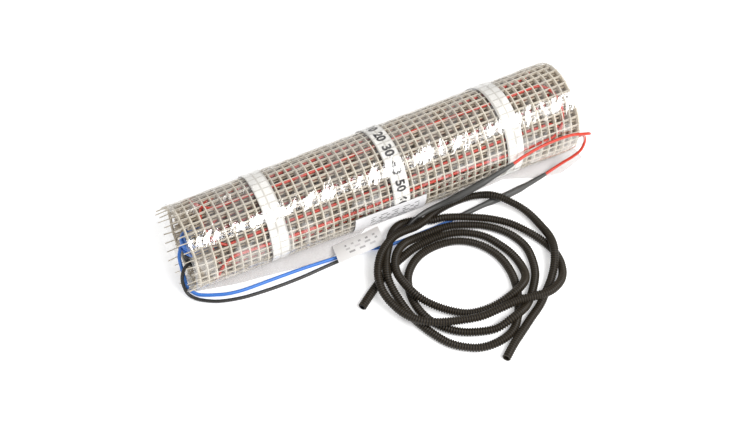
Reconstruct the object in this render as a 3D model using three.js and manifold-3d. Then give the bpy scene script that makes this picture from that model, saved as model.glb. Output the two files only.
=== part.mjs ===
// Underfloor heating mat, rolled up for storage: a glass-fibre mesh with a red heating cable,
// three tape bands, a clear film wrap, two cold leads and the corrugated conduit of its floor sensor.
// Millimetres, +Z up. The roll lies along X with its underside at Z 0, and the leads leave its -X end.
import * as THREE from "three";
import { mergeVertices } from "three/addons/utils/BufferGeometryUtils.js";
import Module from "manifold-3d";

const wasm = await Module();
wasm.setup();

// Driving dimensions of the roll
const MAT_WIDTH = 487;
const ROLL_CENTRE_X = -8.5;
const FILM_RADIUS = 54.8;
const FLARE = 0.0156;
const TURNS = 6;
const TURN_PITCH = 2.8;
const TURN_STEP = 1.4;
const ROUND_SIDES = 60;

// Thicknesses, from the film inwards, and the clearance between neighbours
const CLEARANCE = 0.3;
const FILM_THICKNESS = 0.3;
const TAPE_THICKNESS = 0.3;
const CABLE_DIAMETER = 3.6;
const CABLE_PROUD = 1;

// Tape bands
const TAPE_WIDTH = 21;
const TAPE_PITCH = 0.306 * MAT_WIDTH;
const TAPE_MIDDLE_X = ROLL_CENTRE_X + 4.5;

// Heating cable of the outer turn: straight runs joined by U-turns
const CABLE_FIRST_ANGLE = -62;
const CABLE_RUN_ANGLE = 74;
const CABLE_RUNS = 5;
const CABLE_LEFT_MARGIN = 46;
const CABLE_RIGHT_MARGIN = 42;
const CABLE_UTURN_BULGE = 22;
const CABLE_UTURN_STEPS = 12;

// Film: how far it passes the mat's ends, and the loose flap that lies on the floor
const FILM_LEFT_OVERHANG = 2;
const FILM_RIGHT_OVERHANG = 6;
const FLAP_OUTLINE = [
  [-254, -26], [-97, -52], [-58, -40], [-30, -24], [40, -24], [87, -36], [147, -33], [187, -50], [216, -56],
  [254, -45], [250, -28],
  [241, 0],
];

// Leads, sleeves and tails
const LEAD_DIAMETER = 4;
const TAIL_DIAMETER = 3.6;
const SLEEVE_DIAMETER = 8.4;
const SLEEVE_MOUTH_DIAMETER = 5;
const CONDUIT_DIAMETER = 10;

// Rings and sides of the round tubes that stand for the cords
const TUBE_SIDES = 8;
const RING_STEP_DIAMETERS = 2.5;
const SLEEVE_RING_STEP = 6;
const SLEEVE_TAPER_RINGS = 3;

// Lead hanks inside the bore: their width, height and floor are shares of the bore's radius
const HANK_LENGTH = 84;
const HANK_INSET = 6;
const HANK_WIDTH_SHARE = 1.125;
const HANK_HEIGHT_SHARE = 0.5;
const HANK_FLOOR_SHARE = 0.75;
const HANK_END_SIDES = 12;

// Labels
const LABEL_THICKNESS = 0.3;
const ROLL_LABEL = { length: 90, width: 42, left: -63, high: 1 };
const ROLL_LABEL_STEPS = 12;
const FLAG_LABEL = { length: 58, width: 31, x: -53, y: -49, low: 1.7, high: 11.8 };

// Conduit coil: a low ring of loose turns with a second layer on it
const COIL_BASE = { x: 46, y: -141, radius: 104 };
const COIL_TOP = { x: 35, y: -146, radius: 82 };
const COIL_HOLE = { x: 22, y: -140, radius: 53 };
const COIL_BOTTOM_Z = 1.4;
const COIL_SIDES = 24;
const PASSAGE_CLEARANCE = 4 * CLEARANCE;

// Routes, chosen by hand
const BLACK_LEAD_ROUTE = [
  [-245.4, -10, 35], [-251, -12, 34.5], [-257.5, -16, 31], [-262, -20, 22], [-262.5, -25, 13], [-260.5, -31, 6],
  [-254, -38.5, 3], [-246, -45, 2.8], [-233, -52.5, 2.8], [-208, -59.5, 2.8], [-187, -61.8, 2.8], [-165, -63, 2.8],
  [-135, -63, 2.8], [-110, -61.5, 2.8], [-91, -60.5, 2.8], [-80, -60.5, 2.8], [-66, -60.8, 4.6], [-55, -61, 7],
  [-45, -61, 7.6], [-35, -60.5, 6.4], [-25, -59.5, 4.6], [-11, -58, 4.4], [1, -55, 7], [11, -52, 12.5], [19, -50.5, 15],
];
const BLACK_SLEEVE_ROUTE = [
  [19, -50.5, 15], [35, -48.5, 16.5], [51, -50, 21], [67, -55, 29.5], [84, -58.9, 38.5], [101, -61, 46],
  [121, -62, 54], [139, -61, 58.5],
];
const BLACK_TAIL_ROUTE = [
  [139, -61, 58.5], [155, -60, 64], [177, -60, 69.5], [200, -60, 71], [219, -60.5, 70], [231, -61.5, 67],
  [241, -61.5, 63], [246.5, -58.5, 58], [247.5, -54, 54], [244, -50.5, 50.5], [235.4, -49, 49],
];
const BLUE_LEAD_ROUTE = [
  [-247.2, 3, 50], [-252, 1, 49], [-257, -4, 42], [-258, -9, 31], [-258.4, -16, 19], [-258.2, -24.5, 8.5],
  [-251.5, -32.5, 3.2], [-243, -38, 2.8], [-233, -42.5, 2.8], [-221, -47, 2.8], [-204, -50, 2.8], [-166, -51, 2.8],
  [-130, -52, 2.8], [-92, -54.5, 2.8], [-74, -55.5, 2.8], [-56, -56.5, 2.8], [-39, -63, 2.8], [-11, -66, 2.8],
  [16, -65.5, 2.8], [43, -65, 3], [59, -65, 4.4], [67, -64.5, 5],
];
const BLUE_SLEEVE_ROUTE = [
  [67, -64.5, 5], [83, -63.5, 5], [99, -62, 5], [118, -61, 5], [133, -60.7, 5], [147, -59.5, 5], [163, -57.5, 5],
  [179, -54.8, 5], [195, -51.8, 5],
];
const BLUE_TAIL_ROUTE = [
  [195, -51.8, 5], [203, -50.8, 6.5], [211, -50.6, 9.5], [221, -51.5, 14.5], [231, -54, 21.5], [240, -55, 29],
  [246, -52.5, 36.5], [248.5, -48, 42], [246, -44, 44], [241, -42.5, 44], [235.4, -42, 43],
];
const CONDUIT_LEFT_END = [[-94, -133, 6.6], [-79, -122.5, 6.6], [-64, -112, 6.6], [-48, -98, 6.6]];
const CONDUIT_FRONT_END = [[15, -263, 6.6], [33, -250, 6.6], [51, -237.5, 6.6], [69, -226, 6.6]];

// Worked-out sizes
const MAT_LEFT_X = ROLL_CENTRE_X - MAT_WIDTH / 2;
const MAT_RIGHT_X = ROLL_CENTRE_X + MAT_WIDTH / 2;
const TAPE_DEPTH = FILM_THICKNESS + CLEARANCE;
const CABLE_CENTRE_DEPTH = TAPE_DEPTH + TAPE_THICKNESS + CLEARANCE + tubeReach(CABLE_DIAMETER);
const MAT_DEPTH = TAPE_DEPTH + TAPE_THICKNESS + CLEARANCE + CABLE_PROUD;
const BORE_RADIUS = filmRadius(MAT_LEFT_X) - MAT_DEPTH - TURNS * TURN_PITCH;
const HANK_WIDTH = HANK_WIDTH_SHARE * BORE_RADIUS;
const HANK_HEIGHT = HANK_HEIGHT_SHARE * BORE_RADIUS;
const HANK_FLOOR_Z = filmRadius(MAT_LEFT_X) - HANK_FLOOR_SHARE * BORE_RADIUS;

function filmRadius(x) {
  return FILM_RADIUS + FLARE * (x - ROLL_CENTRE_X);
}

// Corner radius of a tube whose flats are this diameter apart
function tubeReach(diameter) {
  return diameter / 2 / Math.cos(Math.PI / TUBE_SIDES);
}

// A point of the roll at station x, depth under the film and angle above the front
function rollPoint(x, depth, degrees) {
  const angle = THREE.MathUtils.degToRad(degrees);
  const radius = filmRadius(x) - depth;
  return new THREE.Vector3(x, -radius * Math.cos(angle), filmRadius(x) + radius * Math.sin(angle));
}

function bare(geometry) {
  const copy = geometry.clone();
  copy.deleteAttribute("normal");
  copy.deleteAttribute("uv");
  return mergeVertices(copy, 1e-4);
}

function toSolid(geometry) {
  const merged = bare(geometry);
  const mesh = new wasm.Mesh({
    numProp: 3,
    vertProperties: new Float32Array(merged.attributes.position.array),
    triVerts: new Uint32Array(merged.index.array),
  });
  return new wasm.Manifold(mesh);
}

function toGeometry(solid) {
  const mesh = solid.getMesh();
  const geometry = new THREE.BufferGeometry();
  geometry.setAttribute("position", new THREE.BufferAttribute(mesh.vertProperties, mesh.numProp));
  geometry.setIndex(new THREE.BufferAttribute(mesh.triVerts, 1));
  geometry.computeVertexNormals();
  return geometry;
}

// A closed profile of [x, depth] pairs turned about the roll's axis and seated on the floor
function turned(profile) {
  const points = profile.map(([x, depth]) => new THREE.Vector2(filmRadius(x) - depth, x));
  points.push(points[0]);
  const geometry = bare(new THREE.LatheGeometry(points, ROUND_SIDES));
  geometry.rotateZ(-Math.PI / 2);
  const position = geometry.attributes.position;
  for (let i = 0; i < position.count; i += 1) {
    position.setZ(i, position.getZ(i) + filmRadius(position.getX(i)));
  }
  geometry.computeVertexNormals();
  return geometry;
}

// A curve that passes its stations one by one, so that a tube gets one ring at each of them
class StationCurve extends THREE.Curve {
  constructor(stations) {
    super();
    this.stations = stations;
  }

  getPoint(t, target = new THREE.Vector3()) {
    const place = t * (this.stations.length - 1);
    const index = Math.min(Math.floor(place + 1e-9), this.stations.length - 2);
    return target.copy(this.stations[index]).lerp(this.stations[index + 1], place - index);
  }

  getPointAt(t, target) {
    return this.getPoint(t, target);
  }

  getTangentAt(t, target = new THREE.Vector3()) {
    const last = this.stations.length - 1;
    const index = Math.round(t * last);
    const before = this.stations[Math.max(index - 1, 0)];
    const here = this.stations[index];
    const after = this.stations[Math.min(index + 1, last)];
    const inward = here.clone().sub(before).normalize();
    const outward = after.clone().sub(here).normalize();
    return target.copy(inward).add(outward).normalize();
  }
}

function tubeSection(diameter) {
  const reach = tubeReach(diameter);
  const corners = [];
  for (let i = 0; i < TUBE_SIDES; i += 1) {
    const angle = ((i + 0.5) / TUBE_SIDES) * 2 * Math.PI;
    corners.push(new THREE.Vector2(reach * Math.cos(angle), reach * Math.sin(angle)));
  }
  return new THREE.Shape(corners);
}

function tube(stations, diameter) {
  return new THREE.ExtrudeGeometry(tubeSection(diameter), {
    steps: stations.length - 1,
    extrudePath: new StationCurve(stations),
  });
}

// Stations along a smooth curve through a route's points, cut back at the ends by the clearance
function routeStations(route, step, cutStart, cutEnd) {
  const points = route.map(([x, y, z]) => new THREE.Vector3(x, y, z));
  const curve = new THREE.CatmullRomCurve3(points, false, "centripetal");
  const length = curve.getLength();
  const from = cutStart / length;
  const to = 1 - cutEnd / length;
  const count = Math.ceil(length / step);
  const stations = [];
  for (let i = 0; i <= count; i += 1) {
    stations.push(curve.getPointAt(THREE.MathUtils.lerp(from, to, i / count)));
  }
  return stations;
}

function cordTube(route, diameter, cutStart = 0, cutEnd = 0) {
  return tube(routeStations(route, RING_STEP_DIAMETERS * diameter, cutStart, cutEnd), diameter);
}

// The mat: six turns of mesh, each a step on both ends, with grooves for the cable
function matRoll() {
  const left = [];
  const right = [];
  for (let turn = 0; turn < TURNS; turn += 1) {
    const inset = TURN_STEP * ((turn % 2) + turn / TURNS);
    const outer = MAT_DEPTH + turn * TURN_PITCH;
    const inner = outer + TURN_PITCH;
    left.push([MAT_LEFT_X + inset, outer], [MAT_LEFT_X + inset, inner]);
    right.unshift([MAT_RIGHT_X - inset, inner], [MAT_RIGHT_X - inset, outer]);
  }
  const ring = toSolid(turned([...left, ...right].reverse()));
  const groove = toSolid(tube(cableStations(), CABLE_DIAMETER + 2 * CLEARANCE));
  return toGeometry(ring.subtract(groove));
}

// Runs of cable along the roll, joined at alternate ends by half-oval turns
function cableStations() {
  const left = MAT_LEFT_X + CABLE_LEFT_MARGIN;
  const right = MAT_RIGHT_X - CABLE_RIGHT_MARGIN;
  const depth = CABLE_CENTRE_DEPTH;
  const stations = [rollPoint(MAT_RIGHT_X - CABLE_RIGHT_MARGIN / 2, depth, CABLE_FIRST_ANGLE)];
  for (let run = 0; run < CABLE_RUNS; run += 1) {
    const end = run % 2 === 0 ? left : right;
    const outward = run % 2 === 0 ? -1 : 1;
    const middle = CABLE_FIRST_ANGLE + (run + 0.5) * CABLE_RUN_ANGLE;
    const steps = run === CABLE_RUNS - 1 ? 0 : CABLE_UTURN_STEPS;
    for (let step = 0; step <= steps; step += 1) {
      const sweep = (Math.PI * step) / CABLE_UTURN_STEPS;
      const x = end + outward * CABLE_UTURN_BULGE * Math.sin(sweep);
      const angle = middle - (CABLE_RUN_ANGLE / 2) * Math.cos(sweep);
      stations.push(rollPoint(x, depth, angle));
    }
  }
  return stations;
}

function tapeBand(centre) {
  const left = centre - TAPE_WIDTH / 2;
  const right = centre + TAPE_WIDTH / 2;
  const underside = TAPE_DEPTH + TAPE_THICKNESS;
  return turned([[left, TAPE_DEPTH], [right, TAPE_DEPTH], [right, underside], [left, underside]]);
}

// The film: a thin sleeve round the mat, open at both ends, and the flap that it leaves on the floor
function filmWrap() {
  const left = MAT_LEFT_X - FILM_LEFT_OVERHANG;
  const right = MAT_RIGHT_X + FILM_RIGHT_OVERHANG;
  const sleeve = toSolid(turned([
    [left, FILM_THICKNESS], [right, FILM_THICKNESS], [right, 0], [left, 0],
  ].reverse()));
  const outline = [[left, 0], ...FLAP_OUTLINE].map(([x, y]) => new THREE.Vector2(x, y));
  const flap = new THREE.ExtrudeGeometry(new THREE.Shape(outline), { depth: FILM_THICKNESS, bevelEnabled: false });
  return toGeometry(sleeve.add(toSolid(flap)));
}

// The roll label: paper on the film's lower front, bent round the roll from its upper edge down
function rollLabel() {
  const { length, width, left, high } = ROLL_LABEL;
  const geometry = new THREE.BoxGeometry(length, width, LABEL_THICKNESS, 1, ROLL_LABEL_STEPS, 1);
  const corners = geometry.attributes.position;
  for (let i = 0; i < corners.count; i += 1) {
    const x = left + length / 2 + corners.getX(i);
    const below = (width / 2 - corners.getY(i)) / FILM_RADIUS;
    const depth = -CLEARANCE - LABEL_THICKNESS / 2 - corners.getZ(i);
    const point = rollPoint(x, depth, high - THREE.MathUtils.radToDeg(below));
    corners.setXYZ(i, point.x, point.y, point.z);
  }
  return geometry;
}

// The flag label lies over both leads and slopes down to the film flap behind them
function flagLabel() {
  const geometry = new THREE.BoxGeometry(FLAG_LABEL.length, FLAG_LABEL.width, LABEL_THICKNESS);
  const rise = FLAG_LABEL.high - FLAG_LABEL.low;
  geometry.rotateX(-Math.asin(rise / FLAG_LABEL.width));
  geometry.translate(FLAG_LABEL.x, FLAG_LABEL.y, (FLAG_LABEL.low + FLAG_LABEL.high) / 2);
  return geometry;
}

// A hank of lead in the bore: a flat bundle with round ends
function leadHank(bottom) {
  const radius = HANK_WIDTH / 2;
  const left = MAT_LEFT_X + HANK_INSET + radius;
  const right = MAT_LEFT_X + HANK_INSET + HANK_LENGTH - radius;
  const outline = new THREE.Shape();
  outline.absarc(right, 0, radius, -Math.PI / 2, Math.PI / 2, false);
  outline.absarc(left, 0, radius, Math.PI / 2, (3 * Math.PI) / 2, false);
  const geometry = new THREE.ExtrudeGeometry(outline, {
    depth: HANK_HEIGHT,
    bevelEnabled: false,
    curveSegments: HANK_END_SIDES,
  });
  geometry.translate(0, 0, bottom);
  return geometry;
}

// A shrink sleeve: a tube that narrows to its mouth at both ends
function jointSleeve(route) {
  const stations = routeStations(route, SLEEVE_RING_STEP, CLEARANCE, CLEARANCE);
  const geometry = tube(stations, SLEEVE_DIAMETER);
  const taper = SLEEVE_MOUTH_DIAMETER / SLEEVE_DIAMETER;
  const position = geometry.attributes.position;
  const point = new THREE.Vector3();
  for (let i = 0; i < position.count; i += 1) {
    point.fromBufferAttribute(position, i);
    let nearest = 0;
    for (let s = 1; s < stations.length; s += 1) {
      if (stations[s].distanceTo(point) < stations[nearest].distanceTo(point)) nearest = s;
    }
    const share = Math.min(nearest, stations.length - 1 - nearest) / SLEEVE_TAPER_RINGS;
    const scale = taper + (1 - taper) * Math.min(share, 1);
    point.sub(stations[nearest]).multiplyScalar(scale).add(stations[nearest]);
    position.setXYZ(i, point.x, point.y, point.z);
  }
  geometry.computeVertexNormals();
  return geometry;
}

function coilDisc(circle, from, to) {
  const disc = new THREE.Shape();
  disc.absarc(circle.x, circle.y, circle.radius, 0, 2 * Math.PI, false);
  const hole = new THREE.Path();
  hole.absarc(COIL_HOLE.x, COIL_HOLE.y, COIL_HOLE.radius, 0, 2 * Math.PI, false);
  disc.holes.push(hole);
  const geometry = new THREE.ExtrudeGeometry(disc, {
    depth: to - from,
    bevelEnabled: false,
    curveSegments: COIL_SIDES,
  });
  geometry.translate(0, 0, from);
  return toSolid(geometry);
}

// The loose coil's outer shape, with room for the leads, sleeves and ends that run through it
function conduitCoil() {
  const base = coilDisc(COIL_BASE, COIL_BOTTOM_Z, COIL_BOTTOM_Z + CONDUIT_DIAMETER);
  const top = coilDisc(COIL_TOP, COIL_BOTTOM_Z + CONDUIT_DIAMETER / 2, COIL_BOTTOM_Z + 2 * CONDUIT_DIAMETER);
  let coil = base.add(top);
  for (const [route, diameter] of [
    [BLACK_LEAD_ROUTE, LEAD_DIAMETER], [BLUE_LEAD_ROUTE, LEAD_DIAMETER], [BLACK_SLEEVE_ROUTE, SLEEVE_DIAMETER],
    [BLUE_SLEEVE_ROUTE, SLEEVE_DIAMETER], [CONDUIT_LEFT_END, CONDUIT_DIAMETER], [CONDUIT_FRONT_END, CONDUIT_DIAMETER],
  ]) {
    const passage = tube(routeStations(route, RING_STEP_DIAMETERS * diameter, 0, 0), diameter + PASSAGE_CLEARANCE);
    coil = coil.subtract(toSolid(passage));
  }
  return toGeometry(coil);
}

const group = new THREE.Group();

function add(name, geometry, color, roughness, metalness = 0) {
  const mesh = new THREE.Mesh(geometry, new THREE.MeshStandardMaterial({ color, roughness, metalness }));
  mesh.name = name;
  group.add(mesh);
}

add("mat_roll", matRoll(), 0xb9b0a2, 0.85);
add("heating_cable", tube(cableStations(), CABLE_DIAMETER), 0xc8432f, 0.45);
add("tape_band_left", tapeBand(TAPE_MIDDLE_X - TAPE_PITCH), 0xefece4, 0.6);
add("tape_band_middle", tapeBand(TAPE_MIDDLE_X), 0xf2f0ea, 0.6);
add("tape_band_right", tapeBand(TAPE_MIDDLE_X + TAPE_PITCH), 0xefece4, 0.6);
add("film_wrap", filmWrap(), 0xe8e6e2, 0.15);
add("roll_label", rollLabel(), 0xd8d6d2, 0.6);
add("black_lead_hank", leadHank(HANK_FLOOR_Z), 0x26272a, 0.5);
add("blue_lead_hank", leadHank(HANK_FLOOR_Z + HANK_HEIGHT + CLEARANCE), 0x2f6fc4, 0.5);
add("black_lead", cordTube(BLACK_LEAD_ROUTE, LEAD_DIAMETER, 0, CLEARANCE), 0x26272a, 0.5);
add("blue_lead", cordTube(BLUE_LEAD_ROUTE, LEAD_DIAMETER, 0, CLEARANCE), 0x2f6fc4, 0.5);
add("black_joint_sleeve", jointSleeve(BLACK_SLEEVE_ROUTE), 0x3b3c3d, 0.55);
add("blue_joint_sleeve", jointSleeve(BLUE_SLEEVE_ROUTE), 0x3b3c3d, 0.55);
add("black_side_tail", cordTube(BLACK_TAIL_ROUTE, TAIL_DIAMETER, CLEARANCE, 0), 0xd0492f, 0.45);
add("blue_side_tail", cordTube(BLUE_TAIL_ROUTE, TAIL_DIAMETER, CLEARANCE, 0), 0xd0492f, 0.45);
add("lead_label", flagLabel(), 0xdad8d4, 0.6);
add("sensor_conduit_coil", conduitCoil(), 0x211f1c, 0.5);
add("sensor_conduit_left_end", cordTube(CONDUIT_LEFT_END, CONDUIT_DIAMETER), 0x211f1c, 0.5);
add("sensor_conduit_front_end", cordTube(CONDUIT_FRONT_END, CONDUIT_DIAMETER), 0x211f1c, 0.5);

export default group;
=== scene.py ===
"""Underfloor heating mat, rolled up for storage: a woven glass-fibre mesh with its red heating cable,
three tape bands, a clear film wrap, two cold leads with their joint sleeves, and the loose coil of
corrugated conduit for its floor sensor. Metres, Z up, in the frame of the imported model."""

import math

import bmesh
import bpy
import numpy as np
from mathutils import Matrix, Vector


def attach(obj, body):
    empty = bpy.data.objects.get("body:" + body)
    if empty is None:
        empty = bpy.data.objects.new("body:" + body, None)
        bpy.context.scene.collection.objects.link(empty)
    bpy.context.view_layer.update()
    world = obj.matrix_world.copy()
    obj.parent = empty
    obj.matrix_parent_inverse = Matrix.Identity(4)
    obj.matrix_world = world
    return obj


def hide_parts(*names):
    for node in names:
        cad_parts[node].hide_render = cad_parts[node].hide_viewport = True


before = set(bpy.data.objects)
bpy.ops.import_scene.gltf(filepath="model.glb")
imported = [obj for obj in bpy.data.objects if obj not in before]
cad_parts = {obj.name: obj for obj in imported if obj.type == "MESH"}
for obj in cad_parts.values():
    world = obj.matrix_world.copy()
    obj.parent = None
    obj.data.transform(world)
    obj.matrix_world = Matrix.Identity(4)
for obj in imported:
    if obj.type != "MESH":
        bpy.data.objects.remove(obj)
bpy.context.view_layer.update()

# Camera: it stands left of the roll's middle and looks down on it. Its lens and its aim give the
# photograph's crop, and were fitted to the roll's ends, its bands and its foot.
AZIMUTH = math.radians(26.5)
ELEVATION = math.radians(49)
CAMERA_DISTANCE = 1.4
ROLL_MIDDLE = Vector((-0.009, 0, 0.056))
AIM_LEFT_OF_IT = 0.0024
AIM_BELOW_IT = 0.0455
ahead = Vector((
    math.sin(AZIMUTH) * math.cos(ELEVATION),
    math.cos(AZIMUTH) * math.cos(ELEVATION),
    -math.sin(ELEVATION),
))
across = Vector((math.cos(AZIMUTH), -math.sin(AZIMUTH), 0))
upward = across.cross(ahead)
aim = ROLL_MIDDLE - AIM_LEFT_OF_IT * across - AIM_BELOW_IT * upward
camera_data = bpy.data.cameras.new("camera")
camera_data.lens = 57.66
camera_data.sensor_width = 36
camera = bpy.data.objects.new("camera", camera_data)
bpy.context.scene.collection.objects.link(camera)
turn = Matrix((across, upward, -ahead)).transposed().to_4x4()
camera.matrix_world = Matrix.Translation(aim - CAMERA_DISTANCE * ahead) @ turn
bpy.context.scene.camera = camera


# Sensor conduit: a black corrugated plastic tube of 10 mm, about 2.5 m long, supplied with the mat for
# its floor sensor. It is extruded smooth and blown into ribs, and lies in a loose coil with both ends cut.
def smooth(route, step):
    """Points about a step apart on a centripetal curve through the route's points."""
    p = np.array(route, float)
    p = np.vstack([2 * p[0] - p[1], p, 2 * p[-1] - p[-2]])
    fine = []
    for a, b, c, d in zip(p, p[1:], p[2:], p[3:]):
        t1 = np.linalg.norm(b - a) ** 0.5
        t2 = t1 + np.linalg.norm(c - b) ** 0.5
        t3 = t2 + np.linalg.norm(d - c) ** 0.5
        for t in np.linspace(t1, t2, 10, endpoint=False):
            ab = a + (b - a) * t / t1
            bc = b + (c - b) * (t - t1) / (t2 - t1)
            cd = c + (d - c) * (t - t2) / (t3 - t2)
            abc = ab + (bc - ab) * t / t2
            bcd = bc + (cd - bc) * (t - t1) / (t3 - t1)
            fine.append(abc + (bcd - abc) * (t - t1) / (t2 - t1))
    fine = np.array([*fine, p[-2]])
    run = np.concatenate([[0], np.cumsum(np.linalg.norm(np.diff(fine, axis=0), axis=1))])
    at = np.linspace(0, run[-1], max(2, round(run[-1] / step) + 1))
    return np.column_stack([np.interp(at, run, fine[:, k]) for k in range(3)])


def metres(route):
    return np.array(route, float) / 1000


def add_node(tree, kind, inputs=None, **settings):
    """A node in a tree, with its settings, its input values and the sockets that feed it."""
    made = tree.nodes.new(kind)
    for name, value in settings.items():
        setattr(made, name, value)
    for name, value in (inputs or {}).items():
        socket = made.inputs[name]
        if isinstance(value, bpy.types.NodeSocket):
            tree.links.new(value, socket)
        else:
            socket.default_value = value
    return made


def sum_node(tree, operation, a, b=0.0, c=0.0):
    """The output of a Math node."""
    made = add_node(tree, "ShaderNodeMath", operation=operation)
    for socket, value in zip(made.inputs, (a, b, c)):
        if isinstance(value, bpy.types.NodeSocket):
            tree.links.new(value, socket)
        else:
            socket.default_value = value
    return made.outputs[0]


def new_tree(name, sizes):
    """A Geometry Nodes tree with one named input for each size, and its input and output nodes."""
    tree = bpy.data.node_groups.new(name, "GeometryNodeTree")
    face = tree.interface
    face.new_socket("Geometry", in_out="INPUT", socket_type="NodeSocketGeometry")
    for label, value in sizes.items():
        kind = "NodeSocketInt" if isinstance(value, int) else "NodeSocketFloat"
        face.new_socket(label, in_out="INPUT", socket_type=kind).default_value = value
    face.new_socket("Material", in_out="INPUT", socket_type="NodeSocketMaterial")
    face.new_socket("Geometry", in_out="OUTPUT", socket_type="NodeSocketGeometry")
    return tree, tree.nodes.new("NodeGroupInput"), tree.nodes.new("NodeGroupOutput")


def close_tree(tree, group_in, group_out, geometry):
    """Ends a tree in Realize Instances, smooth shading and its material."""
    real = add_node(tree, "GeometryNodeRealizeInstances", {"Geometry": geometry})
    even = add_node(tree, "GeometryNodeSetShadeSmooth", {"Geometry": real.outputs[0]})
    painted = add_node(tree, "GeometryNodeSetMaterial", {
        "Geometry": even.outputs[0],
        "Material": group_in.outputs["Material"],
    })
    tree.links.new(painted.outputs[0], group_out.inputs[0])


def grown(name, seed, tree, values, material):
    """A plain mesh piece: the tree's result on the seed object, which is then removed."""
    bpy.context.scene.collection.objects.link(seed)
    modifier = seed.modifiers.new("tree", "NODES")
    modifier.node_group = tree
    for item in tree.interface.items_tree:
        if item.item_type == "SOCKET" and item.in_out == "INPUT":
            if item.name in values:
                modifier[item.identifier] = values[item.name]
            elif item.name == "Material":
                modifier[item.identifier] = material
    shape = seed.evaluated_get(bpy.context.evaluated_depsgraph_get())
    mesh = bpy.data.meshes.new_from_object(shape)
    mesh.name = name
    bpy.data.objects.remove(seed)
    piece = bpy.data.objects.new(name, mesh)
    bpy.context.scene.collection.objects.link(piece)
    return piece


def piece_of(shape, name, smooth_faces=True):
    """A mesh piece from edited geometry, with its faces turned outward."""
    bmesh.ops.recalc_face_normals(shape, faces=shape.faces)
    mesh = bpy.data.meshes.new(name)
    shape.to_mesh(mesh)
    shape.free()
    if smooth_faces:
        mesh.shade_smooth()
    piece = bpy.data.objects.new(name, mesh)
    bpy.context.scene.collection.objects.link(piece)
    return piece


def route_curve(name, points, widths=None):
    """A curve object through the points, with the cord's relative width at each of them."""
    data = bpy.data.curves.new(name, "CURVE")
    data.dimensions = "3D"
    line = data.splines.new("POLY")
    line.points.add(len(points) - 1)
    for i, p in enumerate(points):
        line.points[i].co = (*p, 1)
        line.points[i].radius = 1 if widths is None else widths[i]
    return bpy.data.objects.new(name, data)


ROUND = {"Diameter": 0.01, "Step": 0.002, "Sides": 12, "Rib Pitch": 1.0, "Rib Depth": 0.0}
round_tree, round_in, round_out = new_tree("Round cord with ribs", ROUND)
even_line = add_node(round_tree, "GeometryNodeResampleCurve", {
    "Curve": round_in.outputs["Geometry"],
    "Length": round_in.outputs["Step"],
}, mode="LENGTH")
along = add_node(round_tree, "GeometryNodeSplineParameter").outputs["Length"]
ribs_passed = sum_node(round_tree, "DIVIDE", along, round_in.outputs["Rib Pitch"])
rib_angle = sum_node(round_tree, "MULTIPLY", sum_node(round_tree, "ADD", ribs_passed, 0.125), 2 * math.pi)
wave = sum_node(round_tree, "COSINE", rib_angle)
sharper = sum_node(round_tree, "MULTIPLY_ADD", wave, 0.72, 0.5)
dip = sum_node(round_tree, "MINIMUM", sum_node(round_tree, "MAXIMUM", sharper, 0), 1)
sunk = sum_node(round_tree, "MULTIPLY", dip, round_in.outputs["Rib Depth"])
kept = sum_node(round_tree, "SUBTRACT", 1.0, sunk)
own_width = add_node(round_tree, "GeometryNodeInputRadius").outputs[0]
# Each point's depth into a rib valley is kept for the conduit's painted shade in its valleys.
noted = add_node(round_tree, "GeometryNodeStoreNamedAttribute", {
    "Geometry": even_line.outputs[0],
    "Name": "valley",
    "Value": dip,
}, data_type="FLOAT", domain="POINT")
circle = add_node(round_tree, "GeometryNodeCurvePrimitiveCircle", {
    "Resolution": round_in.outputs["Sides"],
    "Radius": sum_node(round_tree, "MULTIPLY", round_in.outputs["Diameter"], 0.5),
})
sheath = add_node(round_tree, "GeometryNodeCurveToMesh", {
    "Curve": noted.outputs[0],
    "Profile Curve": circle.outputs[0],
    "Scale": sum_node(round_tree, "MULTIPLY", own_width, kept),
    "Fill Caps": True,
})
close_tree(round_tree, round_in, round_out, sheath.outputs[0])


def plain_material(name, color, roughness, shades=0.12, grain=900, bump=0.15):
    """A moulded or extruded finish: its colour drifts a little, and fine grain breaks its gloss."""
    made = bpy.data.materials.new(name)
    made.use_nodes = True
    tree = made.node_tree
    shader = tree.nodes["Principled BSDF"]
    place = add_node(tree, "ShaderNodeTexCoord").outputs["Object"]
    drift = add_node(tree, "ShaderNodeTexNoise", {"Vector": place, "Scale": 18, "Detail": 3})
    grains = add_node(tree, "ShaderNodeTexNoise", {"Vector": place, "Scale": grain, "Detail": 2})
    color = np.array(color)
    tint = add_node(tree, "ShaderNodeMix", {"Factor": drift.outputs[0]}, data_type="RGBA")
    tint.inputs["A"].default_value = (*np.clip(color * (1 - shades), 0, 1), 1)
    tint.inputs["B"].default_value = (*np.clip(color * (1 + shades), 0, 1), 1)
    tree.links.new(tint.outputs["Result"], shader.inputs["Base Color"])
    rough = add_node(tree, "ShaderNodeMapRange", {
        "Value": grains.outputs[0],
        "To Min": roughness - 0.08,
        "To Max": roughness + 0.08,
    })
    tree.links.new(rough.outputs[0], shader.inputs["Roughness"])
    relief = add_node(tree, "ShaderNodeBump", {
        "Height": grains.outputs[0],
        "Strength": bump,
        "Distance": 0.0002,
    })
    tree.links.new(relief.outputs[0], shader.inputs["Normal"])
    return made


def lay_over(tree, factor, color):
    """Lays a second colour over a material's base colour, as far as the factor says."""
    shader = tree.nodes["Principled BSDF"]
    mix = add_node(tree, "ShaderNodeMix", {"Factor": factor}, data_type="RGBA")
    tree.links.new(shader.inputs["Base Color"].links[0].from_socket, mix.inputs["A"])
    if isinstance(color, bpy.types.NodeSocket):
        tree.links.new(color, mix.inputs["B"])
    else:
        mix.inputs["B"].default_value = (*color, 1)
    tree.links.new(mix.outputs["Result"], shader.inputs["Base Color"])
    return shader


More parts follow.
